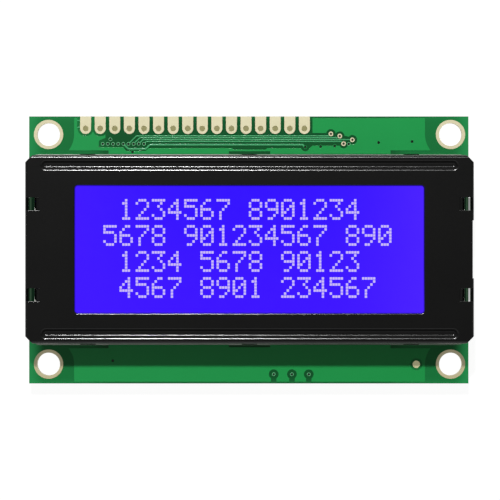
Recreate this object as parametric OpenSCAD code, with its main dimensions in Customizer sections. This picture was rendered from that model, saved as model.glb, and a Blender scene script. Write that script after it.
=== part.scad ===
// Character display module: a folded steel bezel clamps a liquid crystal cell, its rubber
// connectors and an edge-lit backlight to a circuit board. Four rows of twenty characters.
// Origin: centre of the mounting-hole pattern on the board's rear face, +Z out of the display.

/* [Window] */
// Length of the viewing window
window_w = 60; // [54:0.1:66]
// Height of the viewing window
window_h = 22; // [20:0.1:24]
// Corner radius of the viewing window
window_r = 0.55; // [0.4:0.05:1]
// Radius rolled over the window's punched edge
window_roll = 0.16; // [0.08:0.01:0.25]

/* [Bezel] */
// Width of the bezel's face between the window and each end fold
border_x = 8.5; // [8:0.05:9.4]
// Width of the bezel's face between the window and each long fold
border_y = 5.15; // [4.7:0.05:5.6]
// Rise of the bezel's face above the board
bezel_rise = 7.4; // [7:0.1:9]
// Thickness of the bezel's steel sheet
sheet_t = 0.4; // [0.3:0.05:0.45]
// Outer radius of the folds between face and walls
fold_r = 0.5; // [0.5:0.05:0.9]
// Angle by which the walls splay outward
wall_splay = 2.6; // [0:0.1:3]
// Length cut off each corner of the bezel's face
corner_cut = 1.25; // [0.9:0.05:1.4]
// Angle of a fold that is left where the wall is cut away for the lamp end
lamp_fold_angle = 34; // [30:1:60]
// Length of the wall cut away for the lamp end
lamp_cut_w = 10; // [8:0.5:12]

/* [Board] */
// Thickness of the circuit board
board_t = 1.6; // [1:0.1:2.4]
// Height of the strip of board left bare above and below the bezel
board_strip = 7.1; // [6.4:0.1:8]
// How far each end of the board stops short of the bezel's end fold
board_setback = 0.25; // [0.1:0.05:0.4]
// How far the routed outline sits left of the hole pattern
outline_left = 0.13; // [0:0.01:0.3]
// How far the routed outline sits below the hole pattern
outline_low = 0.11; // [0:0.01:0.3]
// Thickness of the plated copper
copper_t = 0.05; // [0.03:0.01:0.1]

/* [Mounting holes] */
// Distance from the board's edges to the centre of each mounting hole
hole_inset = 3.25; // [3:0.05:3.5]
// Diameter of a plated mounting hole
hole_d = 4; // [3:0.1:4.2]
// Diameter of the bare ring round a mounting hole
hole_ring_d = 5.1; // [4.8:0.1:5.4]
// Radius kept free of copper round a mounting hole
hole_keepout_r = 4.45; // [4:0.05:4.8]

/* [Header row] */
// Number of connection holes
pin_count = 16; // [14:1:16]
// Distance between connection holes
pin_pitch = 2.54; // [2.3:0.01:2.79]
// Diameter of a plated connection hole
pin_hole_d = 1; // [0.8:0.05:1.1]
// Width of a connection pad
pin_pad_w = 1.9; // [1.7:0.05:2]
// Distance from the board's left edge to the first connection hole
pin_row_start = 9.83; // [9:0.01:10.8]
// Distance from the board's edge to the row of connection holes
pin_row_inset = 2.1; // [1.9:0.05:2.3]

/* [Pressed grooves] */
// Distance from each long fold to the middle of the groove beside it
groove_inset = 1.7; // [1.65:0.05:1.85]
// Distance from an end fold to the centre of a groove's round end
groove_end = 3.55; // [3.1:0.05:6]
// Width of a groove over its shoulders
groove_w = 1.7; // [1.5:0.05:1.7]
// Width of a groove's flat floor
groove_floor = 0.6; // [0.5:0.05:0.8]
// Depth of a groove
groove_depth = 0.4; // [0.3:0.05:0.45]
// Radius of a groove's shoulders
groove_shoulder_r = 0.5; // [0.3:0.05:0.6]
// Radius between a groove's floor and flanks
groove_floor_r = 0.25; // [0.1:0.05:0.3]

/* [Lanced tabs] */
// Distance from an end fold to the outer face of a lanced locating tab
lance_inset = 1.65; // [1.5:0.05:1.8]
// Distance of each locating tab from the middle of the bezel
lance_y = 7.8; // [7:0.1:8.6]
// Width of the opening a locating tab is lanced from
lance_w = 2.25; // [2:0.05:2.6]
// Gap between a locating tab and each side of its opening
lance_gap = 0.1; // [0.05:0.01:0.2]
// Outer bend radius of a locating tab
lance_r = 0.85; // [0.7:0.05:0.9]
// Straight length of a locating tab below its bend
lance_leg = 1.15; // [0.9:0.05:1.2]
// Angle of the outer fold that the opening takes away
lance_fold_angle = 45; // [40:1:60]

/* [Twist tabs] */
// Number of twist tabs on each long wall
twist_count = 3; // [3:1:5]
// Distance from the middle of a long wall to its outermost twist tabs
twist_span = 28.15; // [27:0.05:29]
// Width of a twist tab
twist_w = 2.4; // [2:0.1:3]
// Reach of a twist tab behind the board
twist_reach = 2; // [1.6:0.1:2.4]
// Angle a twist tab is turned behind the board
twist_angle = 40; // [20:5:60]
// Gap all round a twist tab in its slot
slot_gap = 0.15; // [0.1:0.01:0.3]
// Length of bare board left in front of each twist tab
twist_bare_w = 7.2; // [6:0.1:8]

/* [Liquid crystal cell] */
// Thickness of each sheet of glass
glass_t = 1.1; // [0.7:0.1:1.1]
// Thickness of the seal between the sheets
seal_t = 0.05; // [0.02:0.01:0.1]
// Width of the seal
seal_w = 1; // [0.6:0.1:1.4]
// Gap between the front glass and the bezel round it
glass_gap = 0.15; // [0.1:0.01:0.3]
// Gap between the rear glass and the rubber connectors
rear_glass_gap = 0.3; // [0.1:0.05:0.5]
// Thickness of a polarizer
polarizer_t = 0.2; // [0.15:0.01:0.25]
// How far a polarizer laps past the window
polarizer_lap = 1.5; // [1:0.1:1.6]
// Length of the filling port's plug
plug_w = 4; // [3:0.5:6]
// How far the plug stands off the glass
plug_t = 0.45; // [0.3:0.05:0.6]

/* [Rubber connectors] */
// Width of a rubber connector
zebra_w = 1.6; // [1.4:0.1:1.8]
// Distance of each end of a rubber connector from the end of the glass
zebra_inset = 3; // [2:0.5:6]
// Pitch of the gilt contact lands under the connectors
land_pitch = 1.1; // [1:0.1:2]
// Width of a contact land
land_w = 0.7; // [0.4:0.05:0.8]

/* [Backlight] */
// Thickness of the backlight tray's wall
tray_wall = 0.8; // [0.6:0.1:1]
// Thickness of the backlight tray's floor
tray_floor = 0.6; // [0.5:0.1:1]
// Gap between the tray and the rubber connectors
tray_gap = 0.15; // [0.1:0.01:0.3]
// Gap between the tray's ends and the bezel's walls
tray_end_gap = 1; // [0.8:0.1:1.5]
// Gap round the sheets laid in the tray
sheet_gap = 0.1; // [0.05:0.01:0.2]
// Thickness of the reflector sheet
reflector_t = 0.25; // [0.2:0.05:0.4]
// Thickness of the diffuser sheet
diffuser_t = 0.3; // [0.2:0.05:0.4]
// Thickness of the lamp board
lamp_board_t = 0.8; // [0.6:0.1:1]
// Number of lamps
lamp_count = 5; // [3:1:6]
// Pitch of the lamps
lamp_pitch = 4.6; // [4:0.1:5]
// Width of a lamp
lamp_w = 2.8; // [2:0.1:3.2]
// Height of a lamp
lamp_h = 1.2; // [0.8:0.1:1.6]
// Depth of a lamp
lamp_t = 0.9; // [0.7:0.1:1.2]
// Diameter of a backlight lead
lead_d = 0.6; // [0.4:0.05:0.7]
// Distance between the backlight leads
lead_pitch = 2.54; // [2.5:0.01:3]
// Gap round a lead in its plated hole
lead_gap = 0.1; // [0.05:0.01:0.2]
// Depth of the relief in the tray over a lead's pad
pad_relief = 0.1; // [0.05:0.01:0.2]
// Reach of a lead behind the board
lead_reach = 1.1; // [0.8:0.1:1.5]
// Diameter of the solder round a lead
lead_solder_d = 1.9; // [1.6:0.1:2.2]
// Height of the solder round a lead
lead_solder_h = 0.8; // [0.5:0.1:1]
// Width of a lead's pad left bare round its solder
lead_pad_lap = 0.1; // [0.05:0.05:0.2]

/* [Chips and parts behind the board] */
// Radius of the controller's epoxy dome
controller_r = 6.4; // [5:0.1:7]
// Radius of a driver's epoxy dome
driver_r = 5.4; // [5:0.1:6]
// Height of the epoxy domes
dome_h = 1.5; // [1:0.1:1.8]
// Place of the controller along the board
controller_x = -9.5; // [-10.4:0.1:-8.6]
// Distance between neighbouring domes
dome_pitch = 17; // [15.3:0.1:18.7]
// Length of a chip resistor
chip_l = 2; // [1.6:0.1:2.2]
// Width of a chip resistor
chip_w = 1.25; // [1:0.05:1.4]
// Height of a chip resistor
chip_h = 0.5; // [0.4:0.05:0.6]
// Length of the metal end on a chip part
chip_end = 0.35; // [0.25:0.05:0.5]
// Number of chip resistors in a row
chip_count = 6; // [4:1:8]
// Pitch of the chip resistors
chip_pitch = 2.6; // [2.2:0.1:3]

/* [Printed copper] */
// Distance of the copper from the board's edge
copper_pullback = 0.3; // [0.2:0.05:0.5]
// Width of a signal trace
trace_w = 0.19; // [0.12:0.01:0.22]
// Width of the heavier trace
heavy_trace_w = 0.28; // [0.2:0.01:0.32]
// Pitch of the signal traces that run side by side
trace_pitch = 0.32; // [0.3:0.01:0.34]
// Gap between a pad and the copper poured round it
pour_gap = 0.42; // [0.3:0.01:0.5]
// Gap between the vias in the lower strip and the copper poured round them
strip_via_gap = 0.54; // [0.4:0.01:0.6]
// Width of the bare channel from each via in the lower strip to the board's edge
strip_channel_w = 0.95; // [0.5:0.05:1.1]
// Diameter of a masked via's ring
via_d = 0.6; // [0.5:0.05:0.66]
// Diameter of a via's hole
via_hole_d = 0.26; // [0.2:0.02:0.34]
// Diameter of a bare gilt via's ring
bare_via_d = 0.8; // [0.7:0.05:0.9]
// Diameter of the bare test pad
test_pad_d = 1.27; // [1:0.05:1.5]
// Pitch of the vias in the row under the header
row_via_pitch = 0.895; // [0.85:0.005:0.9]

/* [Hidden] */

$fn = 48;
shallow_fn = 200; // segments of the wide, shallow curves
slack = 0.5; // how far a cutter runs past what it cuts
black = [0.11, 0.11, 0.11];
mask_green = [0.06, 0.42, 0.2];
copper_green = [0.13, 0.58, 0.3];
gilt = [0.88, 0.82, 0.62];
white = [0.93, 0.93, 0.9];
clear = [0.75, 0.85, 0.9, 0.5];
tin = [0.75, 0.75, 0.75];

// Plan of the bezel round the window, the board round the bezel and the holes in the board
bezel_w = window_w + 2 * border_x;
bezel_h = window_h + 2 * border_y;
board_w = bezel_w - 2 * board_setback;
board_h = bezel_h + 2 * board_strip;
hole_x = board_w / 2 - hole_inset;
hole_y = board_h / 2 - hole_inset;
groove_y = bezel_h / 2 - groove_inset;
groove_run = bezel_w - 2 * groove_end;
lance_face_x = bezel_w / 2 - lance_inset;

// Levels, from the board up
face_z = board_t + bezel_rise;
under_z = face_z - sheet_t;
fold_z = face_z - fold_r;
glass_top_z = under_z - groove_depth;
front_glass_z = glass_top_z - glass_t;
rear_glass_z = front_glass_z - seal_t - glass_t;
diffuser_z = rear_glass_z - polarizer_t - diffuser_t;
tray_deck_z = board_t + tray_floor;
guide_z = tray_deck_z + reflector_t;

// Board outline
board_x0 = -board_w / 2 - outline_left;
board_x1 = board_w / 2 - outline_left;
board_y0 = -board_h / 2 - outline_low;
board_y1 = board_h / 2 - outline_low;
first_pin = [board_x0 + pin_row_start, board_y1 - pin_row_inset];
last_pin = first_pin + [(pin_count - 1) * pin_pitch, 0];

// Feet of the long walls on the board, outside and inside
foot_y = wall_at(bezel_h / 2, fold_r, board_t);
foot_in_y = wall_at(bezel_h / 2, fold_r - sheet_t, board_t);

// Plan sizes of what the bezel holds
wall_in_y = bezel_h / 2 - sheet_t;
glass_w = 2 * (lance_face_x - sheet_t - glass_gap);
glass_h = 2 * (wall_in_y - glass_gap);
zebra_l = glass_w - 2 * zebra_inset;
rear_glass_h = 2 * (groove_y - zebra_w / 2 - rear_glass_gap);
polarizer_w = window_w + 2 * polarizer_lap;
polarizer_h = window_h + 2 * polarizer_lap;
tray_w = bezel_w - 2 * sheet_t - 2 * tray_end_gap;
tray_h = 2 * (groove_y - zebra_w / 2 - tray_gap);
tray_in_w = tray_w - 2 * tray_wall;
tray_in_h = tray_h - 2 * tray_wall;
lamp_board_x = tray_in_w / 2 - lamp_board_t;
lamp_x = lamp_board_x - lamp_t;
guide_x0 = -tray_in_w / 2 + sheet_gap;
guide_x1 = lamp_x - sheet_gap;
lead_x = lamp_board_x + lamp_board_t / 2;
lead_hole_d = lead_d + 2 * lead_gap;
lead_pad_d = lead_solder_d + 2 * lead_pad_lap;

// Printed features by the first connection hole, as steps from it
row_via_step = [2.99, -2.68];
row_via_count = 9;
pocket_step = [2.3, -2.14]; // upper left corner of the bare pocket round the row of vias
tongue_step = [3.45, -1.64]; // lower right corner of the copper tongue under the first pads
bus_step = -1.29; // topmost signal trace
bus_low_step = -2.82; // heavier trace below the others
bus_dip_step = -3.54; // where the heavier trace passes under the vias
dip_room = 0.5; // bare board beyond each end of the dip
spoke_l = 0.5; // thin copper between the first pad and the pour
spoke_steps = [0.1, 1.3];
left_via_step = [4.32, -1.88];

// Printed features by the last connection hole, as steps from it
bus_end_steps = [[4.62, -0.94], [6.17, -1.32], [8.36, -1.97], [6.83, -2.64]];
bus_return_step = [0.14, -3.25];
right_via_steps = [[2.82, -3.15], [5.28, -3.04], [7.73, -2.68]];
pour_corner_step = [1.41, -0.79]; // lower left corner of the copper right of the pads
bare_end_step = [7.75, -1.44]; // upper right corner of the bare board round the bus's ends
bare_low_step = -2.99;
bare_slant = 3.1;

// Printed features by the upper and lower right mounting holes and along the lower edge
hole_via_step = [-6.69, -1.24];
between_via_step = [0.2, -1.41]; // from halfway between the last pad and the mounting hole
test_pad_step = [-5.96, -0.02];
low_via_step = [11.18, 0.6]; // from the lower left mounting hole
strip_via_xs = [4.21, 7.38, 10.32];
strip_via_rise = 1.6; // from the lower edge

// Heights of the copper above the feet of the long wall
pour_rise = 1.15;
pocket_rise = 1.32;
dip_rise = 0.67;
end_bare_rise = 0.75; // the bare board in front of the outermost twist tabs ends here
twist_bare_rise = 0.6; // and in front of the others here
middle_dip = [6.1, 0.24]; // length and depth of a dip in the copper in front of the middle
foot_via_step = [8.16, 0.5]; // from the first connection hole and from the feet

row_vias = [
  for (i = [0:row_via_count - 1]) first_pin + row_via_step + [i * row_via_pitch, 0]
];
bus_ends = [for (p = bus_end_steps) last_pin + p];
bus_return = last_pin + bus_return_step;
bus_y = first_pin.y + bus_step;
bus_low_y = first_pin.y + bus_low_step;
bus_dip_y = first_pin.y + bus_dip_step;
bus_dip_x = row_vias[row_via_count - 1].x + trace_pitch; // right end of the dip
bus_dip_from = row_vias[row_via_count - len(bus_ends) - 1]; // via that the heavier trace leaves
strip_vias = [for (x = strip_via_xs) [x, board_y0 + strip_via_rise]];
stray_vias = concat(
  [first_pin + left_via_step, [first_pin.x + foot_via_step.x, foot_y + foot_via_step.y]],
  [for (p = right_via_steps) last_pin + p],
  [[hole_x, hole_y] + hole_via_step, [(last_pin.x + hole_x) / 2, hole_y] + between_via_step],
  [[-hole_x, -hole_y] + low_via_step]
);
test_pad_at = [hole_x, -hole_y] + test_pad_step;
masked_via_places = concat(row_vias, [bus_return], stray_vias, strip_vias);
hole_places = [for (x = [-1, 1], y = [-1, 1]) [x * hole_x, y * hole_y]];
pin_places = [for (i = [0:pin_count - 1]) first_pin + [i * pin_pitch, 0]];
twist_xs = [for (i = [0:twist_count - 1]) (2 * i / (twist_count - 1) - 1) * twist_span];
lead_places = [for (s = [-1, 1]) [lead_x, s * lead_pitch / 2]];

// Places of the parts behind the board
dome_y = 0;
chip_row_step = 5.1; // from the right driver's dome
chip_row_y = 8;
chip_row_x = controller_x + dome_pitch + driver_r + chip_row_step;
chip_rows = [for (s = [1, -1]) [chip_row_x, s * chip_row_y]];
capacitor_step = [10, 2.5]; // from the start of the rows of resistors
capacitor_places = [for (s = [1, -1]) [chip_row_x + capacitor_step.x, s * capacitor_step.y]];
capacitor_h = 1.1;
jumper_room = 5; // between the wall's feet and the row of jumpers
jumper_pitch = 4;
jumper_count = 5;
jumper_places = [
  for (i = [0:jumper_count - 1]) [controller_x - i * jumper_pitch, jumper_room - foot_in_y]
];
jumper_gap = 0.3;
jumper_w = 1.4;
jumper_h = 1.6;
rear_bus_room = 1.45; // between the wall's feet and the first trace behind
rear_bus_step = 0.45;
rear_trace_gap = 0.15; // between a trace's end and the dome it runs to
rear_pour_room = 1.1; // between the wall's feet and the copper behind
link_count = 6;
link_pitch = 0.6;

// Points of an arc about a centre, from one angle to another
function arc(centre, r, from, to, steps = 6) =
  [for (i = [0:steps]) let (a = from + (to - from) * i / steps) centre + r * [cos(a), sin(a)]];

// Edges of a strip of a given width along a path, mitred at its corners
function side(a, b) = let (d = (b - a) / norm(b - a)) [-d.y, d.x];
function bisector(p, i) =
  let (n = side(p[i - 1], p[i]), m = n + side(p[i], p[i + 1])) m / (m * n);
function edge(p, i) =
  i == 0 ? side(p[0], p[1]) : i == len(p) - 1 ? side(p[i - 1], p[i]) : bisector(p, i);
function ribbon(p, w) = concat(
  [for (i = [0:len(p) - 1]) p[i] + edge(p, i) * w / 2],
  [for (i = [len(p) - 1:-1:0]) p[i] - edge(p, i) * w / 2]
);

// Outer or inner face of a splayed wall at a level; r is the fold's radius on that face
function wall_at(half, r, z) =
  half - fold_r + r * cos(wall_splay) + (fold_z + r * sin(wall_splay) - z) * tan(wall_splay);

module box(low, high) {
  translate(low) cube(high - low);
}

module at(places) {
  for (p = places) translate([p.x, p.y, 0]) children();
}

module mirror_each(axis) {
  children();
  mirror(axis) children();
}

// ---- Bezel ----

// Filled section across the bezel: flat face, two round folds and splayed walls
module pan_section(half, r, low) {
  x = half - fold_r;
  tangent = [x + r * cos(wall_splay), fold_z + r * sin(wall_splay)];
  foot = [wall_at(half, r, low), low];
  top = fold_z + r;
  polygon([
    [-x, top], [x, top], tangent, foot, [-foot.x, foot.y], [-tangent.x, tangent.y]
  ]);
  for (s = [-1, 1]) translate([s * x, fold_z]) circle(r);
}

// The pan is where the sections along and across the bezel meet, so its folds mitre
module pan(r, low) {
  intersection() {
    rotate([90, 0, 0]) linear_extrude(height = 2 * bezel_h, center = true)
      pan_section(bezel_w / 2, r, low);
    rotate([90, 0, 90]) linear_extrude(height = 2 * bezel_w, center = true)
      pan_section(bezel_h / 2, r, low);
  }
}

// Sweeps half a section, drawn at x >= 0, round a slot with round ends
module slot_sweep(run) {
  rotate([90, 0, 90]) linear_extrude(height = run, center = true) mirror_each([1, 0]) children();
  for (s = [-1, 1]) translate([s * run / 2, 0, 0]) rotate([0, 0, -90 * s])
    rotate_extrude(angle = 180) children();
}

groove_angle = atan(groove_depth / ((groove_w - groove_floor) / 2));
groove_shoulder_x = groove_w / 2 + groove_shoulder_r * tan(groove_angle / 2);
groove_floor_x = groove_floor / 2 - groove_floor_r * tan(groove_angle / 2);
groove_skin = sheet_t * tan(groove_angle / 2);

// Half section of what a groove leaves open, measured from the bezel's face
module groove_section() {
  shoulder = [groove_shoulder_x, -groove_shoulder_r];
  floor_centre = [groove_floor_x, groove_floor_r - groove_depth];
  polygon(concat(
    [[0, -groove_depth], [0, slack], [groove_shoulder_x, slack]],
    arc(shoulder, groove_shoulder_r, 90, 90 + groove_angle),
    arc(floor_centre, groove_floor_r, groove_angle - 90, -90)
  ));
}

// Half section of the sheet pressed out below a groove
module groove_back_section() {
  polygon([
    [0, -sheet_t / 2],
    [groove_w / 2 + groove_skin + sheet_t / 2 / tan(groove_angle), -sheet_t / 2],
    [groove_floor / 2 + groove_skin, -sheet_t - groove_depth],
    [0, -sheet_t - groove_depth]
  ]);
}

// Rectangle with round corners
module round_rect(w, h, r) {
  square([w, h - 2 * r], center = true);
  square([w - 2 * r, h], center = true);
  for (x = [-1, 1], y = [-1, 1]) translate([x * (w / 2 - r), y * (h / 2 - r)]) circle(r);
}

// Section of the steel lost where the window's edge rolls over, outward from the window
module roll_section() {
  polygon(concat(
    [[-slack / 2, -window_roll], [-slack / 2, slack], [window_roll, slack]],
    arc([window_roll, -window_roll], window_roll, 90, 180)
  ));
}

module window_edge_roll() {
  x = window_w / 2 - window_r;
  y = window_h / 2 - window_r;
  for (s = [0, 180]) rotate([0, 0, s]) {
    translate([0, window_h / 2, 0]) rotate([90, 0, 90])
      linear_extrude(height = 2 * x, center = true) roll_section();
    translate([window_w / 2, 0, 0]) rotate([90, 0, 0])
      linear_extrude(height = 2 * y, center = true) roll_section();
    translate([x, y, 0]) rotate_extrude(angle = 90) translate([window_r, 0]) roll_section();
    translate([-x, y, 0]) rotate([0, 0, 90]) rotate_extrude(angle = 90)
      translate([window_r, 0]) roll_section();
  }
}

// Section of the opening left where a locating tab is lanced out of the face and fold
module lance_section() {
  inner = lance_face_x - lance_r;
  fold_x = bezel_w / 2 - fold_r;
  reach = 3 * fold_r;
  polygon([
    [inner, face_z + slack], [inner, fold_z], [fold_x, fold_z],
    [fold_x + reach * sin(lance_fold_angle), fold_z + reach * cos(lance_fold_angle)],
    [fold_x + reach * sin(lance_fold_angle), face_z + slack]
  ]);
}

// Section of the wall cut away beside the lamp end, from part-way round the fold down
module lamp_cut_section() {
  fold_x = bezel_w / 2 - fold_r;
  reach = 3 * fold_r;
  polygon([
    [fold_x, fold_z],
    [fold_x + reach * sin(lamp_fold_angle), fold_z + reach * cos(lamp_fold_angle)],
    [fold_x + reach, board_t - slack], [fold_x, board_t - slack]
  ]);
}

// Quarter bend and straight leg of a locating tab
module locating_tab() {
  translate([lance_face_x - lance_r, 0, face_z - lance_r]) rotate([90, 0, 0])
    linear_extrude(height = lance_w - 2 * lance_gap, center = true) {
      intersection() {
        difference() {
          circle(lance_r);
          circle(lance_r - sheet_t);
        }
        square(lance_r);
      }
      translate([lance_r - sheet_t, -lance_leg]) square([sheet_t, lance_leg]);
    }
}

// A tab goes straight down through the board and is turned behind it
module twist_tab() {
  turn_h = twist_reach / 2;
  box([-twist_w / 2, foot_in_y, 0], [twist_w / 2, foot_y, board_t]);
  translate([0, (foot_in_y + foot_y) / 2, 0]) mirror([0, 0, 1]) {
    linear_extrude(height = turn_h, twist = -twist_angle, slices = 4, $fn = 8)
      square([twist_w, foot_y - foot_in_y], center = true);
    translate([0, 0, turn_h]) rotate([0, 0, twist_angle])
      linear_extrude(height = twist_reach - turn_h)
        square([twist_w, foot_y - foot_in_y], center = true);
  }
}

module bezel() {
  corner_reach = (bezel_w + bezel_h) / 2 - corner_cut;
  color(black) {
    difference() {
      union() {
        difference() {
          pan(fold_r, board_t);
          pan(fold_r - sheet_t, board_t - slack);
        }
        for (s = [-1, 1]) translate([0, s * groove_y, face_z])
          slot_sweep(groove_run) groove_back_section();
      }
      for (s = [-1, 1]) translate([0, s * groove_y, face_z])
        slot_sweep(groove_run) groove_section();
      translate([0, 0, under_z - slack]) linear_extrude(height = sheet_t + 2 * slack)
        round_rect(window_w, window_h, window_r);
      translate([0, 0, face_z]) window_edge_roll();
      mirror_each([1, 0, 0]) for (s = [-1, 1]) translate([0, s * lance_y, 0])
        rotate([90, 0, 0]) linear_extrude(height = lance_w, center = true) lance_section();
      rotate([90, 0, 0]) linear_extrude(height = lamp_cut_w, center = true) lamp_cut_section();
      for (a = [45:90:315]) rotate([0, 0, a])
        box(
          [corner_reach / sqrt(2), -bezel_w / 2, board_t - slack],
          [bezel_w, bezel_w / 2, face_z + slack]
        );
    }
    mirror_each([1, 0, 0]) for (s = [-1, 1]) translate([0, s * lance_y, 0]) locating_tab();
    for (x = twist_xs) mirror_each([0, 1, 0]) translate([x, 0, 0]) twist_tab();
  }
}

// ---- Circuit board and its copper ----

module board() {
  slot_half = twist_w / 2 + slot_gap;
  color(mask_green) difference() {
    box([board_x0, board_y0, 0], [board_x1, board_y1, board_t]);
    translate([0, 0, -slack]) {
      at(hole_places) cylinder(h = board_t + 2 * slack, d = hole_d + 2 * copper_t);
      at(pin_places) cylinder(h = board_t + 2 * slack, d = pin_hole_d + 2 * copper_t);
      at(lead_places) cylinder(h = board_t + 2 * slack, d = lead_hole_d + 2 * copper_t);
      at(masked_via_places) cylinder(h = board_t + 2 * slack, d = via_hole_d + 2 * copper_t);
      at(bus_ends) cylinder(h = board_t + 2 * slack, d = via_hole_d + 2 * copper_t);
    }
    for (x = twist_xs) mirror_each([0, 1, 0]) translate([x, 0, 0])
      box(
        [-slot_half, foot_in_y - slot_gap, -slack], [slot_half, foot_y + slot_gap, board_t + slack]
      );
  }
}

// Ring on both faces joined by a barrel through the board
module plating(hole, ring) {
  r = hole / 2;
  rotate_extrude() polygon([
    [r, -copper_t], [ring / 2, -copper_t], [ring / 2, 0], [r + copper_t, 0],
    [r + copper_t, board_t], [ring / 2, board_t], [ring / 2, board_t + copper_t],
    [r, board_t + copper_t]
  ]);
}

module mounting_hole_plating() {
  color(gilt) at(hole_places) plating(hole_d, hole_ring_d);
}

// Pad from the board's edge to a round end about its hole
module pin_pad_outline() {
  circle(d = pin_pad_w);
  translate([-pin_pad_w / 2, 0]) square([pin_pad_w, pin_row_inset]);
}

module bare_header_pads() {
  color(gilt) at(pin_places) difference() {
    union() {
      translate([0, 0, board_t]) linear_extrude(height = copper_t) pin_pad_outline();
      translate([0, 0, -copper_t]) linear_extrude(height = copper_t) pin_pad_outline();
      cylinder(h = board_t, d = pin_hole_d + 2 * copper_t);
    }
    translate([0, 0, -slack]) cylinder(h = board_t + 2 * slack, d = pin_hole_d);
  }
}

module masked_vias() {
  color(copper_green) at(masked_via_places) plating(via_hole_d, via_d);
}

module bare_vias() {
  color(gilt) at(bus_ends) plating(via_hole_d, bare_via_d);
}

module test_pad() {
  color(gilt) translate([test_pad_at.x, test_pad_at.y, board_t])
    cylinder(h = copper_t, d = test_pad_d);
}

// Copper left beside one long edge of the board, clear of the mounting holes and the twist tabs
module pour_band(low, high) {
  difference() {
    translate([-hole_x, low]) square([2 * hole_x, high - low]);
    mirror_each([1, 0]) {
      translate([hole_x, hole_y]) circle(hole_keepout_r);
      translate([hole_x - hole_keepout_r, hole_y]) square([2 * hole_keepout_r, board_h]);
      translate([twist_span - twist_bare_w / 2, 0]) square([board_w, foot_y + end_bare_rise]);
    }
    for (x = twist_xs) translate([x - twist_bare_w / 2, 0])
      square([twist_bare_w, foot_y + twist_bare_rise]);
  }
}

// Room left open in the copper for the header pads, the row of vias and the traces
module header_clearing() {
  left = first_pin.x - pin_pad_w / 2 - spoke_l;
  tongue = first_pin + tongue_step;
  pocket = first_pin + pocket_step;
  corner = last_pin + pour_corner_step;
  bare_end = last_pin + bare_end_step;
  pour_y = foot_y + pour_rise;
  pocket_y = foot_y + pocket_rise;
  dip_y = foot_y + dip_rise;
  bare_y = last_pin.y + bare_low_step;
  middle_x = middle_dip.x / 2;
  middle_y = pour_y - middle_dip.y;
  polygon([
    [left, board_y1], [left, first_pin.y], [tongue.x, first_pin.y], tongue, pocket,
    [pocket.x, pocket_y], [bus_dip_from.x, pocket_y], [bus_dip_from.x + dip_room, dip_y],
    [bus_dip_x, dip_y], [bus_dip_x + dip_room, pour_y], [-middle_x, pour_y],
    [middle_dip.y - middle_x, middle_y], [middle_x - middle_dip.y, middle_y],
    [middle_x, pour_y], [corner.x - dip_room, pour_y],
    [corner.x, bare_y], [bare_end.x, bare_y], bare_end, [bare_end.x - bare_slant, corner.y],
    corner, [corner.x, board_y1]
  ]);
}

// Signal traces from the row of vias to the bare vias at the right
module bus_outlines() {
  for (i = [0:len(bus_ends) - 1]) {
    start = row_vias[row_via_count - len(bus_ends) + i];
    end = bus_ends[i];
    y = bus_y - i * trace_pitch;
    rise = y - start.y;
    drop = abs(end.y - y);
    polygon(ribbon([start, [start.x + rise, y], [end.x - drop, y], end], trace_w));
  }
  dip = bus_dip_from.y - bus_dip_y;
  climb = bus_low_y - bus_dip_y;
  drop = bus_low_y - bus_return.y;
  polygon(ribbon([
    bus_dip_from, [bus_dip_from.x + dip, bus_dip_y], [bus_dip_x, bus_dip_y],
    [bus_dip_x + climb, bus_low_y], [bus_return.x - drop, bus_low_y], bus_return
  ], heavy_trace_w));
}

// Thin copper spokes that tie the first pad to the pour beside it
module spoke_outlines() {
  for (y = spoke_steps)
    translate(first_pin + [-pin_pad_w / 2 - spoke_l, y]) square([spoke_l, trace_w]);
}

module front_copper_pours() {
  color(copper_green) translate([0, 0, board_t]) linear_extrude(height = copper_t) {
    difference() {
      pour_band(foot_y + slot_gap, board_y1 - copper_pullback);
      header_clearing();
      for (p = pin_places) translate(p) circle(pin_pad_w / 2 + pour_gap);
      for (p = bus_ends) translate(p) circle(bare_via_d / 2 + pour_gap);
      translate(bus_return) circle(via_d / 2 + pour_gap);
      for (p = masked_via_places) translate(p) circle(d = via_d);
    }
    difference() {
      mirror([0, 1]) pour_band(foot_y + slot_gap, -board_y0 - copper_pullback);
      for (p = strip_vias) translate(p) {
        circle(via_d / 2 + strip_via_gap);
        translate([-strip_channel_w / 2, -board_h]) square([strip_channel_w, board_h]);
      }
      for (p = masked_via_places) translate(p) circle(d = via_d);
      translate(test_pad_at) circle(test_pad_d / 2 + pour_gap);
    }
  }
}

module front_traces() {
  color(copper_green) translate([0, 0, board_t]) linear_extrude(height = copper_t) {
    difference() {
      bus_outlines();
      for (p = row_vias) translate(p) circle(d = via_d);
      for (p = bus_ends) translate(p) circle(d = bare_via_d);
      translate(bus_return) circle(d = via_d);
    }
    spoke_outlines();
  }
}

// Gilt lands that the rubber connectors press on
module contact_lands() {
  count = floor((zebra_l - land_w) / land_pitch);
  color(gilt) mirror_each([0, 1, 0]) for (i = [0:count])
    translate([(i - count / 2) * land_pitch, groove_y, board_t])
      box([-land_w / 2, -zebra_w / 2, 0], [land_w / 2, zebra_w / 2, copper_t]);
}

// ---- Liquid crystal cell ----

module plate(w, h, low, t) {
  box([-w / 2, -h / 2, low], [w / 2, h / 2, low + t]);
}

module front_polarizer() {
  color([0.22, 0.12, 0.95]) plate(polarizer_w, polarizer_h, glass_top_z, polarizer_t);
}

module front_glass() {
  color(clear) plate(glass_w, glass_h, front_glass_z, glass_t);
}

module cell_seal() {
  color(white) difference() {
    plate(glass_w, rear_glass_h, front_glass_z - seal_t, seal_t);
    plate(
      glass_w - 2 * seal_w, rear_glass_h - 2 * seal_w, front_glass_z - seal_t - slack,
      seal_t + 2 * slack
    );
  }
}

module rear_glass() {
  color(clear) plate(glass_w, rear_glass_h, rear_glass_z, glass_t);
}

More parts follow.
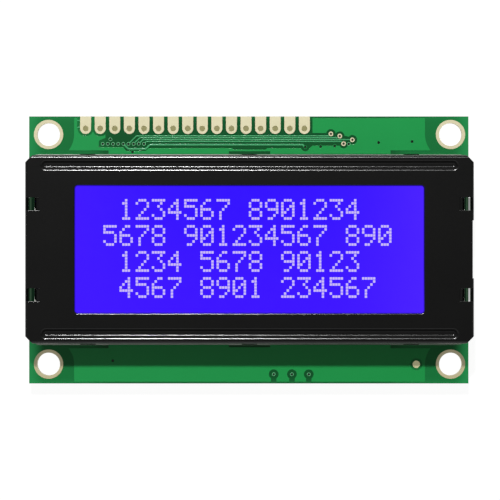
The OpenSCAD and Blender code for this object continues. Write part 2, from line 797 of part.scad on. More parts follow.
module rear_polarizer() {
  color([0.3, 0.3, 0.36])
    plate(
      tray_in_w - 2 * sheet_gap, tray_in_h - 2 * sheet_gap, rear_glass_z - polarizer_t, polarizer_t
    );
}

// Bead of resin over the port that the cell is filled through
module fill_port_plug() {
  port_z = front_glass_z - seal_t / 2;
  bulge_r = (pow(plug_w / 2, 2) + pow(plug_t, 2)) / (2 * plug_t);
  color([0.85, 0.8, 0.6]) intersection() {
    translate([glass_w / 2 - bulge_r + plug_t, 0, port_z - glass_t])
      cylinder(h = 2 * glass_t, r = bulge_r, $fn = shallow_fn);
    box(
      [glass_w / 2, -plug_w / 2, port_z - glass_t], [glass_w / 2 + plug_t, plug_w / 2, port_z + glass_t]
    );
  }
}

module zebra_strip() {
  color([0.85, 0.45, 0.6]) translate([0, groove_y, 0]) box(
    [-zebra_l / 2, -zebra_w / 2, board_t + copper_t],
    [zebra_l / 2, zebra_w / 2, front_glass_z]
  );
}

module upper_zebra_strip() {
  zebra_strip();
}

module lower_zebra_strip() {
  mirror([0, 1, 0]) zebra_strip();
}

// ---- Backlight ----

module backlight_tray() {
  color(white) difference() {
    plate(tray_w, tray_h, board_t, rear_glass_z - board_t);
    plate(tray_in_w, tray_in_h, tray_deck_z, rear_glass_z);
    at(lead_places) translate([0, 0, board_t - slack]) {
      cylinder(h = tray_floor + 2 * slack, d = lead_hole_d);
      cylinder(h = slack + copper_t + pad_relief, d = lead_pad_d + 2 * sheet_gap);
    }
  }
}

module reflector_sheet() {
  color(white) box(
    [guide_x0, sheet_gap - tray_in_h / 2, tray_deck_z],
    [guide_x1, tray_in_h / 2 - sheet_gap, tray_deck_z + reflector_t]
  );
}

module light_guide() {
  color(clear) box(
    [guide_x0, sheet_gap - tray_in_h / 2, guide_z],
    [guide_x1, tray_in_h / 2 - sheet_gap, diffuser_z]
  );
}

module diffuser_sheet() {
  color(white) box(
    [guide_x0, sheet_gap - tray_in_h / 2, diffuser_z],
    [lamp_x + lamp_t - sheet_gap, tray_in_h / 2 - sheet_gap, diffuser_z + diffuser_t]
  );
}

module lamp_board() {
  color(white) box(
    [lamp_board_x, sheet_gap - tray_in_h / 2, tray_deck_z],
    [lamp_board_x + lamp_board_t, tray_in_h / 2 - sheet_gap, diffuser_z]
  );
}

module lamps() {
  z = (guide_z + diffuser_z) / 2;
  color([0.95, 0.9, 0.55]) for (i = [0:lamp_count - 1])
    translate([lamp_x, (i - (lamp_count - 1) / 2) * lamp_pitch, z])
      box([0, -lamp_w / 2, -lamp_h / 2], [lamp_t, lamp_w / 2, lamp_h / 2]);
}

module backlight_leads() {
  color(tin) at(lead_places) translate([0, 0, -lead_reach])
    cylinder(h = lead_reach + tray_deck_z, d = lead_d);
}

module lead_hole_plating() {
  color(gilt) at(lead_places) plating(lead_hole_d, lead_pad_d);
}

module lead_solder() {
  color(tin) at(lead_places) translate([0, 0, -copper_t]) mirror([0, 0, 1]) difference() {
    cylinder(h = lead_solder_h, d1 = lead_solder_d, d2 = lead_d + 2 * lead_gap);
    translate([0, 0, -slack]) cylinder(h = lead_solder_h + 2 * slack, d = lead_d);
  }
}

// ---- Parts behind the board ----

// Low cap of cured epoxy
module epoxy_dome(r) {
  ball_r = (r * r + dome_h * dome_h) / (2 * dome_h);
  color([0.05, 0.05, 0.05]) intersection() {
    translate([0, 0, ball_r - dome_h]) sphere(ball_r, $fn = shallow_fn);
    translate([0, 0, -dome_h - slack]) cylinder(h = dome_h + slack, r = r + slack);
  }
}

module controller_dome() {
  translate([controller_x, dome_y, 0]) epoxy_dome(controller_r);
}

module left_driver_dome() {
  translate([controller_x - dome_pitch, dome_y, 0]) epoxy_dome(driver_r);
}

module right_driver_dome() {
  translate([controller_x + dome_pitch, dome_y, 0]) epoxy_dome(driver_r);
}

chip_places = [for (row = chip_rows, i = [0:chip_count - 1]) row + [i * chip_pitch, 0]];

// Body of a chip part between its ends, standing along Y
module chip_body(h) {
  box([-chip_w / 2, chip_end - chip_l / 2, -h], [chip_w / 2, chip_l / 2 - chip_end, 0]);
}

module chip_ends(h) {
  mirror_each([0, 1, 0])
    box([-chip_w / 2, chip_l / 2 - chip_end, -h], [chip_w / 2, chip_l / 2, 0]);
}

module chip_resistors() {
  color([0.12, 0.12, 0.13]) at(chip_places) chip_body(chip_h);
}

module resistor_ends() {
  color(tin) at(chip_places) chip_ends(chip_h);
}

module chip_capacitors() {
  color([0.7, 0.55, 0.4]) at(capacitor_places) chip_body(capacitor_h);
}

module capacitor_ends() {
  color(tin) at(capacitor_places) chip_ends(capacitor_h);
}

// Pairs of bare lands that a blob of solder can bridge
module solder_jumpers() {
  color(gilt) at(jumper_places) mirror_each([1, 0, 0])
    box([jumper_gap / 2, -jumper_h / 2, -copper_t], [jumper_gap / 2 + jumper_w, jumper_h / 2, 0]);
}

// A trace that would meet a twist tab's slot passes to the left of it
function beside_slot(x) =
  let (room = twist_w / 2 + slot_gap + pour_gap, near = [for (t = twist_xs) if (abs(x - t) < room) t])
  len(near) > 0 ? near[0] - room : x;

// Traces from the header pads down to the controller, and links between the domes
module rear_trace_outlines() {
  middle = (pin_count - 1) / 2;
  for (i = [0:pin_count - 1]) {
    x = pin_places[i].x;
    down_x = beside_slot(x);
    pad_low_y = first_pin.y - pin_pad_w / 2;
    turn_y = pad_low_y - trace_pitch;
    off = i - middle;
    target = controller_x + off * link_pitch;
    run_y = foot_in_y - rear_bus_room - (abs(off) - 0.5) * rear_bus_step;
    end_y = dome_y + sqrt(pow(controller_r, 2) - pow(target - controller_x, 2)) + rear_trace_gap;
    polygon(ribbon(concat(
      [[x, pad_low_y]],
      down_x == x ? [] : [[x, turn_y], [down_x, turn_y - abs(down_x - x)]],
      [[down_x, run_y], [target, run_y], [target, end_y]]
    ), trace_w));
  }
  for (s = [-1, 1], i = [0:link_count - 1]) {
    y = dome_y + (i - (link_count - 1) / 2) * link_pitch;
    near = sqrt(pow(controller_r, 2) - pow(y - dome_y, 2)) + rear_trace_gap;
    far = dome_pitch - sqrt(pow(driver_r, 2) - pow(y - dome_y, 2)) - rear_trace_gap;
    translate([controller_x, y]) polygon(ribbon([[s * near, 0], [s * far, 0]], trace_w));
  }
}

module rear_traces() {
  color(copper_green) translate([0, 0, -copper_t]) linear_extrude(height = copper_t)
    difference() {
      rear_trace_outlines();
      for (p = masked_via_places) translate(p) circle(d = via_d);
    }
}

// Broad copper along the board's lower edge behind
module rear_copper_pours() {
  color(copper_green) translate([0, 0, -copper_t]) linear_extrude(height = copper_t)
    difference() {
      mirror([0, 1]) pour_band(foot_y + rear_pour_room, -board_y0 - copper_pullback);
      for (p = masked_via_places) translate(p) circle(d = via_d + pour_gap);
    }
}

bezel();
board();
mounting_hole_plating();
bare_header_pads();
masked_vias();
bare_vias();
test_pad();
front_copper_pours();
front_traces();
contact_lands();
front_polarizer();
front_glass();
cell_seal();
fill_port_plug();
rear_glass();
rear_polarizer();
upper_zebra_strip();
lower_zebra_strip();
backlight_tray();
reflector_sheet();
light_guide();
diffuser_sheet();
lamp_board();
lamps();
backlight_leads();
lead_hole_plating();
lead_solder();
controller_dome();
left_driver_dome();
right_driver_dome();
chip_resistors();
resistor_ends();
chip_capacitors();
capacitor_ends();
solder_jumpers();
rear_traces();
rear_copper_pours();
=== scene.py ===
from math import pi

import bpy
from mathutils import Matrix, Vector


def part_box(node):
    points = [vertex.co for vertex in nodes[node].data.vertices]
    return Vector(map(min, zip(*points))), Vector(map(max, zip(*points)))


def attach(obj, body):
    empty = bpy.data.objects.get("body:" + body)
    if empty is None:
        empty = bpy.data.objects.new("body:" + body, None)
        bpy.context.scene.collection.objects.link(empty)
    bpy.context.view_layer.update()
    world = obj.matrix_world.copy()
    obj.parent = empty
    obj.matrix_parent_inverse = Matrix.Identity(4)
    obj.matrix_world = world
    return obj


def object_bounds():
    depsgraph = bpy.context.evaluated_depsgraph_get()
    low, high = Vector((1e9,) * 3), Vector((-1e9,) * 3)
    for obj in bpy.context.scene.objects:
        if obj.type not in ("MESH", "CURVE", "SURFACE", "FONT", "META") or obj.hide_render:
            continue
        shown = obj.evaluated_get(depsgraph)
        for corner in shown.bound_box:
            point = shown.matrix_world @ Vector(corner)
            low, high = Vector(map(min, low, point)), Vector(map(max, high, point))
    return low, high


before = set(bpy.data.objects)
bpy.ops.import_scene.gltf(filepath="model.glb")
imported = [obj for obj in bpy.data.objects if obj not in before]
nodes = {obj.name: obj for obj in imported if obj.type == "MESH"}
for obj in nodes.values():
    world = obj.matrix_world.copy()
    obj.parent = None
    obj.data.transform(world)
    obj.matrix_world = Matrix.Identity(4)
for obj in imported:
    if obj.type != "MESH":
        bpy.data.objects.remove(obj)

# ---- Circuit board ----
# A sheet of glass cloth in resin, 1.6 mm thick, under green solder mask on both faces.
# It is routed to its outline, so its edges show the bare cloth. The light creeping in from them
# is painted: a glow near the edges, and lighter bare ends.
cad_low, cad_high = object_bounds()
MM = 0.001


def srgb(red, green, blue):
    """A colour written as 0 to 255, as the shader's own linear numbers."""
    shares = [channel / 255 for channel in (red, green, blue)]
    linear = [s / 12.92 if s <= 0.04045 else ((s + 0.055) / 1.055) ** 2.4 for s in shares]
    return (*linear, 1.0)


BLACK = (0, 0, 0, 1)


class Wire:
    """One output in a node tree. Python's arithmetic on it adds Math nodes."""

    def __init__(self, tree, socket=None):
        self.tree = tree
        self.socket = socket

    def node(self, kind, settings=None, values=None, output=0):
        """A new node. Its settings are made first, then its sockets' values or links."""
        made = self.tree.nodes.new(kind)
        for name, value in (settings or {}).items():
            if name == "stops":
                ramp = made.color_ramp.elements
                while len(ramp) < len(value):
                    ramp.new(0.5)
                for element, (place, colour) in zip(ramp, value):
                    element.position = place
                    element.color = colour
            else:
                setattr(made, name, value)
        for key, value in (values or {}).items():
            if isinstance(value, Wire):
                self.tree.links.new(value.socket, made.inputs[key])
            else:
                made.inputs[key].default_value = value
        return Wire(self.tree, made.outputs[output])

    def maths(self, operation, *others):
        """A Math node that takes this number first."""
        values = dict(enumerate((self,) + others))
        return self.node("ShaderNodeMath", {"operation": operation}, values)

    def __add__(self, other):
        return self.maths("ADD", other)

    def __sub__(self, other):
        return self.maths("SUBTRACT", other)

    def __rsub__(self, other):
        return self.node("ShaderNodeMath", {"operation": "SUBTRACT"}, {0: other, 1: self})

    def __mul__(self, other):
        return self.maths("MULTIPLY", other)

    def __truediv__(self, other):
        return self.maths("DIVIDE", other)

    def __abs__(self):
        return self.maths("ABSOLUTE")

    __radd__ = __add__
    __rmul__ = __mul__

    def least(self, other):
        return self.maths("MINIMUM", other)

    def most(self, other):
        return self.maths("MAXIMUM", other)

    def across(self, other):
        """The straight distance, where this number is one way and the other is square to it."""
        return (self * self + other * other).maths("SQRT")

    def wave(self, pitch):
        """A wave from -1 to 1 with this pitch."""
        return (self * (2 * pi / pitch)).maths("SINE")

    def ramp(self, low, high, start=0.0, end=1.0):
        """Goes smoothly from start to end as this number goes from low to high."""
        return self.node(
            "ShaderNodeMapRange",
            {"interpolation_type": "SMOOTHSTEP"},
            {"Value": self, "From Min": low, "From Max": high, "To Min": start, "To Max": end},
        )

    def mix(self, first, second):
        """A colour that goes from first to second as this number goes from 0 to 1."""
        return self.node("ShaderNodeMix", {"data_type": "RGBA"}, {0: self, 6: first, 7: second}, 2)

    def axes(self):
        return [self.node("ShaderNodeSeparateXYZ", None, {0: self}, axis) for axis in "XYZ"]

    def grain(self, size, detail=2.0, stretch=(1, 1, 1)):
        """Noise from 0 to 1 with features of this size in metres, longer where stretch is."""
        place = self.node("ShaderNodeMapping", None, {0: self, "Scale": [1 / s for s in stretch]})
        return self.node(
            "ShaderNodeTexNoise", None, {"Vector": place, "Scale": 1 / size, "Detail": detail}
        )

    def facing(self):
        """1 where the surface looks straight up or down, and 0 on a wall."""
        return abs(self.node("ShaderNodeNewGeometry", output="Normal").axes()[2])

    def rounded(self, radius, samples=6):
        """A normal that shades every edge as if it had this radius."""
        return self.node("ShaderNodeBevel", {"samples": samples}, {"Radius": radius})

    def relief(self, depth, strength=1.0, over=None):
        """A bumped normal, where this number times depth is the height, over another normal."""
        values = {"Strength": strength, "Distance": depth, "Height": self}
        if over:
            values["Normal"] = over
        return self.node("ShaderNodeBump", None, values)


def new_finish(name):
    """A new material, and the place on the object that its patterns start from."""
    made = bpy.data.materials.new(name)
    made.use_nodes = True
    start = Wire(made.node_tree)
    return made, start.node("ShaderNodeTexCoord", output="Object")


def lay_on(made, values, *names):
    """Sets the surface's own values or links, then puts the finish on the named CAD nodes."""
    shader = made.node_tree.nodes["Principled BSDF"]
    for key, value in values.items():
        if isinstance(value, Wire):
            made.node_tree.links.new(value.socket, shader.inputs[key])
        else:
            shader.inputs[key].default_value = value
    for name in names:
        for slot in nodes[name].material_slots:
            slot.material = made


board_low, board_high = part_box("board")
board_middle = (board_low + board_high) / 2
board_half = (board_high - board_low) / 2
FOOT_Y = 16.46 * MM  # where the bezel stands
WARP_PITCH, WEFT_PITCH = 0.52 * MM, 0.46 * MM

laminate, place = new_finish("masked_laminate")
x, y, z = place.axes()
from_end = board_half.x - abs(x - board_middle.x)
from_long_edge = board_half.y - abs(y - board_middle.y)
from_edge = from_end.least(from_long_edge)
cloth = x.wave(WARP_PITCH) * y.wave(WEFT_PITCH)
cloud = place.grain(7 * MM, 3)
# Painted light: the bare ends are lighter and the laminate glows near its edges, for light coming
# through the board.
bare_ends_lit_through = from_end.ramp(10 * MM, 15 * MM, 1, 0)
painted_edge_glow = from_end.ramp(0, 2.8 * MM, 1, 0) + from_long_edge.ramp(0, 1.2 * MM, 1, 0) * 0.25
# Painted shade: inside the bezel's walls the board is darker, with only a faint painted glow
# and a painted light line just inside its ends.
front_side = z.ramp(board_middle.z, board_high.z)
painted_bezel_shade = abs(y).ramp(FOOT_Y - 0.5 * MM, FOOT_Y - 0.3 * MM, 1, 0) * front_side
painted_edge_glow = painted_edge_glow * (1 - painted_bezel_shade)
green = bare_ends_lit_through.mix(srgb(8, 82, 38), srgb(20, 118, 58))
green = painted_edge_glow.mix(green, srgb(14, 92, 45))
green = painted_bezel_shade.mix(green, srgb(14, 66, 38))
green = (cloth * 0.08 + cloud * 0.2).mix(green, srgb(7, 74, 33))
green = from_edge.ramp(0.02 * MM, 0.12 * MM, 0.5, 0).mix(green, srgb(6, 52, 26))
painted_through_light = painted_edge_glow.mix(BLACK, srgb(27, 106, 57))
# The painted light line just inside the board's ends.
painted_rim_light = from_end.ramp(0.05 * MM, 0.15 * MM) * from_end.ramp(0.35 * MM, 0.45 * MM, 1, 0)
painted_through_light = painted_bezel_shade.mix(painted_through_light, painted_rim_light.mix(srgb(12, 34, 20), srgb(46, 68, 50)))
facing = place.facing()
upright = facing.ramp(0.3, 0.8, 1, 0)
routed = upright * from_edge.ramp(0.1 * MM, 0.2 * MM, 1, 0)
strands = place.grain(0.16 * MM, 3, (9, 9, 1))
# Painted shade: the board's upright faces in its holes and slots are darker.
green = upright.mix(green, srgb(7, 40, 22))
green = routed.mix(green, strands.mix(srgb(96, 118, 62), srgb(176, 178, 118)))
# A white ink line is printed along the bezel's feet, a little low and fainter to the right.
INK_LOW = 0.06 * MM
ragged = place.grain(0.25 * MM, 2)
line_y = abs(y + INK_LOW) + ragged * 0.03 * MM
ink = line_y.ramp(FOOT_Y + 0.12 * MM, FOOT_Y + 0.17 * MM, 1, 0) * facing.ramp(0.3, 0.8)
ink = ink * line_y.ramp(FOOT_Y - 0.2 * MM, FOOT_Y - 0.1 * MM)
ink = ink * x.ramp(-8 * MM, 12 * MM, 0.95, 0.5) * from_end.ramp(1 * MM, 1.6 * MM) * front_side
green = ink.mix(green, srgb(214, 224, 210))
lay_on(laminate, {
    "Base Color": green,
    "Emission Color": (upright + ink).mix(painted_through_light, BLACK),
    "Emission Strength": 1.0,
    "Roughness": routed * 0.4 + cloud * 0.06 + 0.17,
    "Specular IOR Level": 0.4,
    "Normal": (cloth * 0.25 + strands * routed * 2).relief(0.01 * MM, 0.35),
}, "board")

# ---- Copper under the mask ----
# The pours, the traces and the plated vias are etched copper foil under the same green mask.
# The copper throws light back, so the mask is a brighter green on it.
masked, place = new_finish("masked_copper")
x, y = place.axes()[:2]
along = (x - board_low.x) / (2 * board_half.x)
pitting = place.grain(0.22 * MM, 3)
cloud = place.grain(5 * MM, 3)
green = along.mix(srgb(35, 158, 82), srgb(28, 155, 76))
# Painted shade: the pours are darker towards the board's lower edge.
green = (y / board_half.y).ramp(-1, 0.2, 0.22, 0).mix(green, srgb(16, 120, 52))
green = (cloud * 0.25 + pitting * 0.12).mix(green, srgb(16, 132, 58))
lay_on(masked, {
    "Base Color": green,
    "Roughness": pitting * 0.06 + 0.17,
    "Specular IOR Level": 0.5,
    "Normal": pitting.relief(0.004 * MM, 0.3, place.rounded(0.04 * MM)),
}, "front_copper_pours", "rear_copper_pours")

# On the narrow traces the mask runs thin over the copper's edges, so they are paler still.
thin_mask, place = new_finish("masked_trace")
pitting = place.grain(0.15 * MM, 3)
cloud = place.grain(3 * MM, 3)
green = (cloud * 0.7 + pitting * 0.3).mix(srgb(84, 180, 124), srgb(38, 148, 82))
lay_on(thin_mask, {
    "Base Color": green,
    "Roughness": pitting * 0.06 + 0.17,
    "Specular IOR Level": 0.5,
    "Normal": pitting.relief(0.004 * MM, 0.3, place.rounded(0.05 * MM)),
}, "front_traces", "rear_traces")

# The mask thins out on a via's rim, so the ring is paler where no pour is round it. Its hole
# and barrel are painted dark as shade, since no light comes up the barrel.
FIRST_VIA_X, ROW_Y, VIA_PITCH = -25.56, 18.36, 0.895
ROW_VIAS = [(FIRST_VIA_X + VIA_PITCH * step, ROW_Y) for step in range(9)]
OPEN_VIAS = ROW_VIAS + [
    (-24.23, 19.16), (4.21, -21.76), (7.38, -21.76), (10.32, -21.76), (17.28, 18.36)
]
POUR_VIAS = [
    (-20.39, 16.964), (9.69, 17.79), (12.37, 17.89), (14.83, 18), (22.475, 18.59),
    (28.31, 18.76), (-23.82, -19.4),
]


def from_nearest(x, y, places):
    """The distance to the nearest of these places, which are in millimetres."""
    nearest = None
    for place_x, place_y in places:
        right, up = x - place_x * MM, y - place_y * MM
        squared = right * right + up * up
        nearest = squared.least(nearest) if nearest else squared
    return nearest.maths("SQRT")


rim, place = new_finish("masked_via_rim")
x, y = place.axes()[:2]
pitting = place.grain(0.15 * MM, 3)
barrel = place.facing().ramp(0.3, 0.8, 1, 0)
from_open, from_pour = from_nearest(x, y, OPEN_VIAS), from_nearest(x, y, POUR_VIAS)
green = pitting.mix(srgb(130, 214, 158), srgb(96, 190, 126))
green = from_pour.ramp(0.3 * MM, 0.4 * MM, 1, 0).mix(green, srgb(33, 150, 76))
# Painted shade in the hole and on its barrel.
painted_hole_shade = barrel.most(from_open.least(from_pour).ramp(0.2 * MM, 0.25 * MM, 1, 0))
lay_on(rim, {
    "Base Color": painted_hole_shade.mix(green, srgb(3, 14, 8)),
    "Roughness": pitting * 0.08 + 0.16,
    "Normal": pitting.relief(0.004 * MM, 0.3, place.rounded(0.02 * MM)),
}, "masked_vias")

# ---- Bare gilt pads ----
# The pads, hole barrels, contact lands and test pad are left out of the mask.
# They are nickel with a flash of gold, pale and a little grainy from the plating bath.
PALE_GILT, DEEP_GILT = srgb(217, 213, 178), srgb(200, 192, 153)
# Painted glow: the gilt shines a little on its own, for light it gathers in shade.
PAINTED_GILT_GLOW = (0.07, 0.062, 0.042, 1)

gilt, place = new_finish("flash_gilt")
grain = place.grain(0.09 * MM, 4)
cloud = place.grain(1.6 * MM, 3)
colour = (grain * 0.4 + cloud * 0.6).mix(PALE_GILT, DEEP_GILT)
lay_on(gilt, {
    "Base Color": colour,
    "Emission Color": PAINTED_GILT_GLOW,
    "Emission Strength": 1.0,
    "Metallic": 0.1,
    "Roughness": grain * 0.2 + 0.36,
    "Normal": grain.relief(0.006 * MM, 0.3),
}, "bare_header_pads", "contact_lands", "lead_hole_plating", "solder_jumpers")

# The bare vias are plated the same, and their holes are painted dark as shade.
BARE_VIAS = [(14.17, 20.1), (15.72, 19.72), (16.38, 18.4), (17.91, 19.07)]

bare_via_shaded_gilt, place = new_finish("bare_via_gilt")
x, y = place.axes()[:2]
grain = place.grain(0.09 * MM, 4)
painted_hole_shade = from_nearest(x, y, BARE_VIAS).ramp(0.18 * MM, 0.26 * MM, 1, 0)
colour = grain.mix(PALE_GILT, DEEP_GILT)
lay_on(bare_via_shaded_gilt, {
    "Base Color": painted_hole_shade.mix(colour, srgb(66, 44, 26)),
    "Emission Color": painted_hole_shade.mix(PAINTED_GILT_GLOW, BLACK),
    "Emission Strength": 1.0,
    "Metallic": 0.1,
    "Roughness": grain * 0.2 + 0.36,
    "Normal": grain.relief(0.006 * MM, 0.3),
}, "bare_vias")

# The mounting holes' plating is duller by the board's lower edge, and has a painted glow for
# light it gathers in shade.
mounting_plating, place = new_finish("mounting_plating_painted_glow")
grain = place.grain(0.12 * MM, 4)
cloud = place.grain(1.2 * MM, 3)
low_end = place.axes()[1].ramp(-18 * MM, 18 * MM, 1, 0)
colour = low_end.mix(srgb(204, 197, 164), srgb(164, 155, 118))
colour = (grain * 0.3 + cloud * 0.4).mix(colour, srgb(148, 138, 100))
lay_on(mounting_plating, {
    "Base Color": colour,
    # Painted glow, for light the plating gathers in shade.
    "Emission Color": (0.17, 0.155, 0.1, 1),
    "Emission Strength": 1.0,
    "Metallic": 0.1,
    "Roughness": grain * 0.25 + 0.34,
    "Normal": grain.relief(0.008 * MM, 0.35),
}, "mounting_hole_plating")

# Probes have rubbed the test pad.
worn_gilt_with_glow, place = new_finish("probed_test_pad_painted_glow")
grain = place.grain(0.12 * MM, 4)
colour = grain.mix(srgb(206, 203, 158), srgb(176, 174, 130))
lay_on(worn_gilt_with_glow, {
    "Base Color": colour,
    # Painted glow, for light the pad gathers in shade.
    "Emission Color": (0.19, 0.18, 0.105, 1),
    "Emission Strength": 1.0,
    "Metallic": 0.1,
    "Roughness": grain * 0.25 + 0.4,
    "Normal": grain.relief(0.01 * MM, 0.4),
}, "test_pad")

# ---- Backlight ----
# A white moulded tray holds a clear acrylic guide between a white reflector and a diffuser.
# Lamps on a small board light the guide from its right end, and leads carry them.
moulded, place = new_finish("white_tray_plastic")
flow = place.grain(4 * MM, 3, (6, 1, 1))
colour = flow.mix(srgb(242, 242, 236), srgb(226, 227, 218))
lay_on(moulded, {
    "Base Color": colour, "Roughness": flow * 0.2 + 0.45, "Normal": flow.relief(0.02 * MM, 0.2),
}, "backlight_tray", "lamp_board")

film, place = new_finish("white_film")
grain = place.grain(0.3 * MM, 4)
colour = grain.mix(srgb(248, 248, 248), srgb(232, 234, 236))
lay_on(film, {
    "Base Color": colour, "Roughness": grain * 0.2 + 0.6, "Normal": grain.relief(0.01 * MM, 0.3),
}, "reflector_sheet", "diffuser_sheet")

PRINTED_DOT_PITCH = 1.2 * MM
acrylic, place = new_finish("clear_acrylic")
x, y = place.axes()[:2]
dots = x.wave(PRINTED_DOT_PITCH) * y.wave(PRINTED_DOT_PITCH)
colour = dots.ramp(0.2, 0.6).mix(srgb(214, 226, 236), srgb(244, 248, 250))
lay_on(acrylic, {
    "Base Color": colour, "Roughness": dots.ramp(0.2, 0.6, 0.06, 0.5), "Coat Weight": 0.4,
}, "light_guide")

phosphor, place = new_finish("lamp_phosphor")
grain = place.grain(0.1 * MM, 3)
colour = grain.mix(srgb(250, 236, 130), srgb(232, 206, 84))
lay_on(phosphor, {
    "Base Color": colour, "Roughness": grain * 0.2 + 0.35, "Normal": grain.relief(0.01 * MM, 0.3),
}, "lamps")

tinned, place = new_finish("tinned_metal")
grain = place.grain(0.12 * MM, 4)
colour = grain.mix(srgb(214, 214, 212), srgb(170, 171, 173))
lay_on(tinned, {
    "Base Color": colour, "Metallic": 0.8, "Roughness": grain * 0.25 + 0.24,
    "Normal": grain.relief(0.01 * MM, 0.35),
}, "backlight_leads", "lead_solder", "resistor_ends", "capacitor_ends")

# ---- Liquid crystal cell ----
# Two sheets of float glass sealed round their edge, with resin over the filling port.
# Silicone strips with fine conducting layers carry the signals up from the board.
float_glass, place = new_finish("float_glass")
ripple = place.grain(9 * MM, 2)
colour = ripple.mix(srgb(226, 240, 234), srgb(210, 230, 222))
lay_on(float_glass, {
    "Base Color": colour, "Roughness": ripple * 0.03 + 0.02, "IOR": 1.52,
    "Transmission Weight": 0.9, "Normal": ripple.relief(0.01 * MM, 0.1),
}, "front_glass", "rear_glass")

resin, place = new_finish("cell_resin")
grain = place.grain(0.4 * MM, 3)
colour = grain.mix(srgb(224, 216, 176), srgb(196, 184, 136))
lay_on(resin, {
    "Base Color": colour, "Roughness": grain * 0.2 + 0.3, "Normal": grain.relief(0.02 * MM, 0.3),
}, "cell_seal", "fill_port_plug")

LAYER_PITCH = 0.18 * MM
silicone, place = new_finish("layered_silicone")
x = place.axes()[0]
layers = x.wave(LAYER_PITCH).ramp(-0.2, 0.2)
cloud = place.grain(2 * MM, 3)
colour = (layers * 0.35 + cloud * 0.4).mix(srgb(214, 150, 164), srgb(120, 70, 84))
lay_on(silicone, {
    "Base Color": colour, "Roughness": cloud * 0.2 + 0.55, "Normal": cloud.relief(0.02 * MM, 0.3),
}, "upper_zebra_strip", "lower_zebra_strip")

grey_film, place = new_finish("rear_polarizer_film")
grain = place.grain(0.5 * MM, 3)
colour = grain.mix(srgb(92, 92, 104), srgb(74, 74, 88))
lay_on(grey_film, {
    "Base Color": colour, "Roughness": grain * 0.12 + 0.25, "Normal": grain.relief(0.005 * MM, 0.2),
}, "rear_polarizer")

# ---- Front polarizer, lit ----
# A glossy film on the front glass. The display is negative, so with the backlight on its
# ground is a deep blue, lighter towards both ends, over a faint matrix of electrodes.
WINDOW_X, WINDOW_Y, WINDOW_R = 30 * MM, 11 * MM, 0.55 * MM
COLUMN, ROW = 2.775 * MM, 4.47 * MM
DOT_X, DOT_Y = 0.47 * MM, 0.52 * MM
FIRST_X, FIRST_Y = -27.9 * MM, 8.67 * MM

lit_film, place = new_finish("lit_blue_film")
x, y = place.axes()[:2]
outward = abs(x) / WINDOW_X
ends = outward * outward
low = (y / WINDOW_Y).ramp(-1, 1, 1, 0)
ground = low.mix(srgb(47, 5, 249), srgb(57, 9, 251))
right = (x / WINDOW_X).ramp(0.2, 1)
ground = ends.mix(ground, right.mix(srgb(61, 15, 253), srgb(72, 28, 253)))
column_gap = ((x - FIRST_X) / DOT_X).maths("FRACT").ramp(0.88, 1)
row_gap = ((y - FIRST_Y) / DOT_Y).maths("FRACT").ramp(0.88, 1)
gaps = column_gap.most(row_gap)
ground = (gaps * 0.05 + place.grain(3 * MM, 2) * 0.06).mix(ground, srgb(34, 10, 236))
# Painted shade: the film is darker beside the window's edge, most along the top and the right end.
past_x = (abs(x) - (WINDOW_X - WINDOW_R)).most(0.0)
past_y = (abs(y) - (WINDOW_Y - WINDOW_R)).most(0.0)
from_rim = WINDOW_R - past_x.across(past_y)
upper_right = (y / WINDOW_Y + x / WINDOW_X * 0.9).ramp(-0.3, 0.7)
painted_window_shade = from_rim.ramp(0.02 * MM, 0.2 * MM, 1, 0) * (upper_right * 0.5 + 0.5)
ground = painted_window_shade.mix(ground, srgb(13, 4, 72))
lay_on(lit_film, {
    "Base Color": (0.004, 0.001, 0.08, 1),
    "Emission Color": ground,
    "Emission Strength": 1.0,
    "Roughness": place.grain(2 * MM, 2) * 0.08 + 0.12,
    "Specular IOR Level": 0.4,
}, "front_polarizer")

# ---- Characters ----
# Four rows of twenty cells, each of five by seven dots that the liquid crystal opens. Plain
# figures stand in them, and each dot is a thin tile at the film's face. A figure is seven
# rows from the top, and the bits of a row's number are its five dots.
FIGURES = {
    "0": (14, 17, 19, 21, 25, 17, 14), "1": (4, 12, 4, 4, 4, 4, 14),
    "2": (14, 17, 1, 2, 4, 8, 31), "3": (31, 2, 4, 2, 1, 17, 14),
    "4": (2, 6, 10, 18, 31, 2, 2), "5": (31, 16, 30, 1, 1, 17, 14),
    "6": (6, 8, 16, 30, 17, 17, 14), "7": (31, 1, 2, 4, 8, 8, 8),
    "8": (14, 17, 17, 14, 17, 17, 14), "9": (14, 17, 17, 15, 1, 2, 12),
}
LINES = ("  1234567 8901234", " 5678 901234567 890", "  1234 5678 90123", "  4567 8901 234567")
DOT_SIZE = Vector((0.4, 0.42, 0.006)) * MM
DOT_LIFT = 0.001 * MM


def deselect():
    """Leaves object mode with nothing selected, because an operator acts on all that is."""
    if bpy.context.mode != "OBJECT":
        bpy.ops.object.mode_set(mode="OBJECT")
    bpy.ops.object.select_all(action="DESELECT")


def choose_faces(piece, wanted):
    """Selects, in edit mode, the faces of a piece for which wanted(face) is true."""
    bpy.ops.object.mode_set(mode="EDIT")
    bpy.ops.mesh.select_mode(type="FACE")
    bpy.ops.mesh.select_all(action="DESELECT")
    bpy.ops.object.mode_set(mode="OBJECT")
    for face in piece.data.polygons:
        face.select = wanted(face)
    bpy.ops.object.mode_set(mode="EDIT")


def apply_all(piece):
    for modifier in list(piece.modifiers):
        bpy.ops.object.modifier_apply(modifier=modifier.name)


